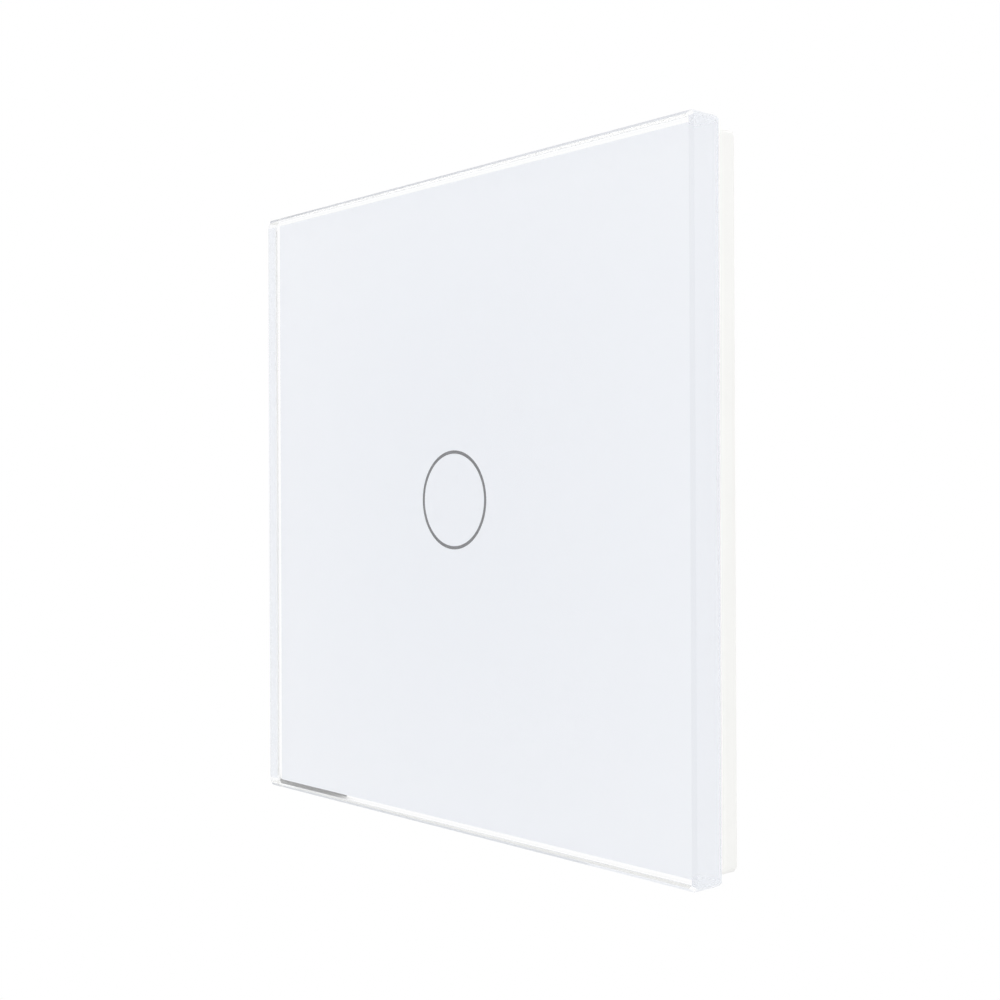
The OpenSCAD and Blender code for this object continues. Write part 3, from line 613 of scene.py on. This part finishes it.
platingSet = {"shade": 0.82, "drawnRough": 0.14, "flakeRough": 0.08}
metalSets = {  # lay draws the grain out along an axis, flake is the width of the plating's crystals
    "mounting_plate": {"colour": (0.66, 0.67, 0.68), "rough": 0.34, "lay": (0.08, 1, 1), "grain": 0.3,
                       "flake": 1.6, "depth": 0.002, "edge": 0.1},
    "housing_screws": {"colour": (0.68, 0.68, 0.68), "rough": 0.28, "lay": (1, 1, 1), "grain": 0.25,
                       "flake": 0.5, "depth": 0.002},
    "clamp_screw": {"colour": (0.7, 0.69, 0.64), "rough": 0.3, "lay": (1, 1, 1), "grain": 0.25,
                    "flake": 0.5, "depth": 0.002, "edge": 0.08},
    "clamp_cage": {"colour": (0.72, 0.72, 0.71), "rough": 0.25, "lay": (1, 0.1, 1), "grain": 0.2,
                   "flake": 0.8, "depth": 0.002, "edge": 0.08},
    "contact_bars": {"colour": (0.78, 0.58, 0.28), "rough": 0.3, "lay": (1, 1, 0.1), "grain": 0.2,
                     "flake": 0.9, "depth": 0.002},
    "header_pins": {"colour": (0.75, 0.74, 0.7), "rough": 0.25, "lay": (1, 0.1, 1), "grain": 0.12,
                    "flake": 0.4, "depth": 0.001},
    "relay_pins": {"colour": (0.75, 0.74, 0.7), "rough": 0.28, "lay": (1, 0.1, 1), "grain": 0.12,
                   "flake": 0.4, "depth": 0.001},
    "relay_yoke": {"colour": (0.6, 0.6, 0.59), "rough": 0.32, "lay": (0.1, 1, 1), "grain": 0.2,
                   "flake": 0.7, "depth": 0.002},
    "relay_armature": {"colour": (0.6, 0.6, 0.59), "rough": 0.32, "lay": (1, 0.1, 1), "grain": 0.2,
                       "flake": 0.7, "depth": 0.002},
    "relay_contact_arm": {"colour": (0.8, 0.5, 0.26), "rough": 0.26, "lay": (0.1, 1, 1), "grain": 0.15,
                          "flake": 0.6, "depth": 0.001},
    "relay_fixed_contact": {"colour": (0.8, 0.55, 0.28), "rough": 0.28, "lay": (1, 0.1, 1), "grain": 0.15,
                            "flake": 0.6, "depth": 0.001},
}


def metalFinish(name, s):
    material, spot = startFinish(name)
    drawn = grainOf(stretched(spot, s["lay"]), s["grain"])
    flake = cellsOf(spot, s["flake"], "Color")
    bright = flake.node("SeparateColor", None, {0: flake})
    colour = mottled(spot, 0.5 * (drawn + bright), s["colour"], platingSet["shade"])
    rough = s["rough"] + platingSet["drawnRough"] * (drawn - 0.5) + platingSet["flakeRough"] * (bright - 0.5)
    endFinish(spot, {"Base Color": colour, "Roughness": rough, "Metallic": 1.0}, drawn, s["depth"])
    return material


finishNodes(metalSets, metalFinish, "Metal")
print("metals finished")


# Circuit boards

boardSets = {  # pitch of the tracks, their bundles and the holes in millimetres
    "sensor_board": {"mask": (0.012, 0.1, 0.035), "track": (0.03, 0.2, 0.07), "pitch": 3.2, "bundle": 6.0,
                     "hole": 0.34},
    "power_board": {"mask": (0.014, 0.115, 0.04), "track": (0.035, 0.22, 0.08), "pitch": 5.0, "bundle": 9.0,
                    "hole": 0.5},
}
laminateSet = {
    "edge": (0.46, 0.42, 0.22),
    "edgeSkin": 0.02,  # millimetres that count as the cut edge
    "rough": 0.22,
    "roughMore": 0.1,
    "weave": 0.6,
    "weaveLay": (1, 8, 1),
    "weaveShare": 0.2,  # of the weave in the relief
    "relief": 0.03,
}
trackSet = {  # rows of long bricks: their shift and odd lengths, then sizes as shares of the pitch
    "rows": {"offset": 0.37, "squash": 0.7, "squash_frequency": 3},
    "sizes": {"Brick Width": 4.5, "Row Height": 0.32, "Mortar Size": 0.04, "Mortar Smooth": 0.1,
              "Bias": 0.0},
}


def tracksAlong(spot, across, along, pitch):  # long tracks side by side, with a few links between them
    lie = spot.node("CombineXYZ", None, {0: across, 1: along})
    inputs = {"Vector": lie, "Scale": 1 / pitch, **trackSet["sizes"]}
    return lie.node("TexBrick", trackSet["rows"], inputs, "Fac")


def boardFinish(name, s, half):
    material, spot = startFinish(name)
    x, z = axesOf(spot)[::2]
    lie = spot.node("CombineXYZ", None, {0: x, 1: z})
    bundle = cellsOf(lie, s["bundle"], "Color")
    turned = bundle.node("SeparateColor", None, {0: bundle}) > 0.5
    upright = tracksAlong(spot, z, x, s["pitch"])
    level = tracksAlong(spot, x, z, s["pitch"])
    tracks = level + (upright - level) * turned
    holes = cellsOf(lie, s["pitch"], "Distance") < s["hole"] / s["pitch"]
    cut = spot.sums("MAXIMUM", abs(x), abs(z)) > half - laminateSet["edgeSkin"]
    weave = grainOf(stretched(spot, laminateSet["weaveLay"]), laminateSet["weave"])
    rough = laminateSet["rough"] + laminateSet["roughMore"] * weave
    copper = tinted(spot, tracks, s["mask"], s["track"])
    tinned = tinted(spot, holes, copper, legSet["colour"])
    endFinish(spot, {
        "Base Color": tinted(spot, cut, tinned, laminateSet["edge"]),
        "Roughness": between(holes, rough, legSet["rough"]),
        "Metallic": holes * (1 - cut),
    }, tracks + laminateSet["weaveShare"] * weave, laminateSet["relief"])
    return material


for node, s in boardSets.items():
    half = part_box(node)[1].x / mm
    wear(nodes[node], boardFinish(plainName(node, "Laminate"), s, half))
print("boards finished")


# Other parts of the module and the panel

foamSet = {
    "colour": (0.84, 0.85, 0.86), "shade": 0.9, "rough": 0.75, "roughMore": 0.15, "cell": 0.22,
    "depth": 0.02,
}


def foamFinish(s):
    material, spot = startFinish("adhesiveFoam")
    cells = cellsOf(spot, s["cell"], "Distance")
    colour = mottled(spot, cells, s["colour"], s["shade"])
    rough = s["rough"] + s["roughMore"] * cells
    endFinish(spot, {"Base Color": colour, "Roughness": rough}, cells, s["depth"])
    return material


guideSet = {
    "colour": (0.93, 0.95, 0.955), "rough": 0.34, "roughMore": 0.2, "frost": 0.08, "depth": 0.004,
    "ior": 1.49, "clear": 0.55,
}


def guideFinish(s):
    material, spot = startFinish("frostedGuide")
    frost = grainOf(spot, s["frost"])
    values = {
        "Base Color": s["colour"],
        "Roughness": s["rough"] + s["roughMore"] * (frost - 0.5),
        "IOR": s["ior"],
        "Transmission Weight": s["clear"],
    }
    endFinish(spot, values, frost, s["depth"])
    return material


lampBodySet = {
    "resin": (0.8, 0.66, 0.16), "shade": 0.9, "body": (0.82, 0.82, 0.8), "cloud": 0.3, "rough": 0.2,
    "roughMore": 0.1, "depth": 0.002,
}


def lampBodyFinish(s):
    material, spot = startFinish("indicatorLens")
    low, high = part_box("indicator_leds")
    lens = axesOf(spot)[1] < (low.y + high.y) / 2 / mm
    cloud = grainOf(spot, s["cloud"])
    resin = mottled(spot, cloud, s["resin"], s["shade"])
    colour = tinted(spot, lens, s["body"], resin)
    rough = s["rough"] + s["roughMore"] * cloud
    endFinish(spot, {"Base Color": colour, "Roughness": rough}, cloud, s["depth"])
    return material


canSet = {
    "sleeve": (0.018, 0.024, 0.085),
    "stripe": (0.55, 0.57, 0.6),
    "stripeFrom": 0.78,  # share of the radius
    "metal": (0.8, 0.8, 0.79),
    "lidSkin": 0.05,  # millimetres at the end that count as the bare lid
    "rough": 0.25, "roughMore": 0.15, "wrinkle": 1.2, "lay": (1, 0.2, 1), "depth": 0.02,
}


def canFinish(s):
    material, spot = startFinish("canSleeve")
    low, high = (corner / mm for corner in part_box("smoothing_capacitor"))
    middle, radius = (low.x + high.x) / 2, (high.x - low.x) / 2
    x, y = axesOf(spot)[:2]
    bare = 1 - (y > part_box("power_board")[1].y / mm) * (y < high.y - s["lidSkin"])
    stripe = x - middle > radius * s["stripeFrom"]
    wrinkle = grainOf(stretched(spot, s["lay"]), s["wrinkle"])
    sleeve = tinted(spot, stripe, s["sleeve"], s["stripe"])
    endFinish(spot, {
        "Base Color": tinted(spot, bare, sleeve, s["metal"]),
        "Roughness": s["rough"] + s["roughMore"] * wrinkle,
        "Metallic": bare,
    }, wrinkle, s["depth"])
    return material


coilSet = {  # wire in millimetres, and how slowly its tone changes round a turn; shade is how dark the painted shade between the turns gets
    "colour": (0.5, 0.16, 0.055), "shade": 0.35, "rough": 0.3, "roughMore": 0.1, "metal": 0.8,
    "wire": 0.13, "round": 0.3, "depth": 0.05,
}


def coilFinish(s):
    material, spot = startFinish("enamelledCopper")
    turns = abs(spot.sums("SINE", axesOf(spot)[0] * (math.pi / s["wire"])))
    tone = grainOf(stretched(spot, (1 / s["wire"], s["round"], s["round"])), 1.0)
    # painted shade: the colour falls to the shade share in the grooves between the turns, mixed with a
    # random tone along the wire
    colour = mottled(spot, turns * tone, s["colour"], s["shade"])
    rough = s["rough"] + s["roughMore"] * tone
    endFinish(spot, {"Base Color": colour, "Roughness": rough, "Metallic": s["metal"]}, turns, s["depth"])
    return material


tapeSet = {  # wrap and crease in millimetres
    "colour": (0.72, 0.5, 0.03), "shade": 0.86, "rough": 0.22, "roughMore": 0.12, "wrap": 2.4, "slant": 0.15,
    "crease": 0.8, "lay": (0.4, 2, 0.4), "creaseShare": 0.3, "depth": 0.02,
}


def tapeFinish(s):
    material, spot = startFinish("windingTape")
    x, y = axesOf(spot)[:2]
    lap = spot.sums("FRACT", (y + s["slant"] * x) * (1 / s["wrap"]))
    crease = grainOf(stretched(spot, s["lay"]), s["crease"])
    colour = mottled(spot, crease, s["colour"], s["shade"])
    rough = s["rough"] + s["roughMore"] * crease
    endFinish(spot, {"Base Color": colour, "Roughness": rough}, lap + s["creaseShare"] * crease, s["depth"])
    return material


wear(nodes["glass_adhesive"], foamFinish(foamSet))
wear(nodes["light_guide"], guideFinish(guideSet))
wear(nodes["indicator_leds"], lampBodyFinish(lampBodySet))
wear(nodes["smoothing_capacitor"], canFinish(canSet))
wear(nodes["relay_winding"], coilFinish(coilSet))
wear(nodes["transformer_winding"], tapeFinish(tapeSet))
print("small parts finished")


# Touch spring, one wire with a straight leg at each end

springSet = {
    "wire": 0.5, "width": 6.6, "turns": 4, "steps": 32, "sides": 14, "bend": 4,  # bend in steps of the coil
    "colour": (0.78, 0.66, 0.42), "rough": 0.22, "lay": (1, 1, 1), "grain": 0.1, "flake": 0.3,
    "depth": 0.001,
}


def springPath(s, start, end):  # a helix along Y between two straight legs, with rounded bends
    radius = (s["width"] - s["wire"]) / 2 * mm
    leg = s["wire"] * mm
    count = s["turns"] * s["steps"]
    coil = []
    for i in range(count + 1):
        turn = 2 * math.pi * i / s["steps"]
        along = start - leg + (end - start + 2 * leg) * i / count
        coil.append(Vector((radius * math.cos(turn), along, radius * math.sin(turn))))
    first, last = Vector((radius, start, 0)), Vector((radius, end, 0))
    b = s["bend"]
    opening = bentLine((first + coil[0]) / 2, coil[0], coil[b], 2 * b)
    closing = bentLine(coil[-1 - b], coil[-1], (coil[-1] + last) / 2, 2 * b)
    return [first, *opening, *coil[b + 1:-1 - b], *closing, last]


def bentLine(start, corner, end, steps):
    shares = [i / steps for i in range(steps + 1)]
    return [start * (1 - t) ** 2 + corner * 2 * t * (1 - t) + end * t ** 2 for t in shares]


def sweptWire(mesh, path, radius, sides):
    rows = []
    ring = roundRing(radius, sides)
    for i, place in enumerate(path):
        ahead = (path[min(i + 1, len(path) - 1)] - path[max(i - 1, 0)]).normalized()
        out = Vector((place.x, 0, place.z))
        out = (out - ahead * out.dot(ahead)).normalized()
        over = ahead.cross(out)
        rows.append([mesh.verts.new(place + a * out + b * over) for a, b in ring])
    closeRows(mesh, rows)


def makeSpring(s):
    low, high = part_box("touch_spring")
    mesh = bmesh.new()
    sweptWire(mesh, springPath(s, high.y, low.y), s["wire"] / 2 * mm, s["sides"])
    finish = metalFinish("springWire", s)
    newPiece("touchSpring", mesh, finish, "module", ["touch_spring"], smooth=True)


makeSpring(springSet)
print("spring wound")


# Bare foil plate in the recess on the back of the housing

plateSet = {
    "width": 25.4, "height": 13.4, "middle": 8.5, "corner": 0.8, "steps": 6,
    "recess": 0.3, "thick": 0.12, "edge": 0.05,
    "colour": (0.7, 0.71, 0.72), "rough": 0.3, "lay": (0.06, 1, 1), "grain": 0.16, "flake": 60.0,
    "depth": 0.001,
}


def makeBarePlate(s):
    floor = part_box("rear_housing")[1].y - s["recess"] * mm
    levels = ((0.0, 0.0), (s["thick"] - s["edge"], 0.0), (s["thick"], s["edge"]))  # lift, then step in
    mesh = bmesh.new()
    rows = []
    for lift, step in levels:
        width, height = s["width"] - 2 * step, s["height"] - 2 * step
        outline = roundedPlate(width, height, s["corner"], s["steps"], s["middle"])
        rows.append(rowAt(mesh, [(x * mm, z * mm) for x, z in outline], floor + lift * mm))
    closeRows(mesh, rows)
    newPiece("barePlate", mesh, metalFinish("plateFoil", s), "module")


makeBarePlate(plateSet)
print("bare plate laid")
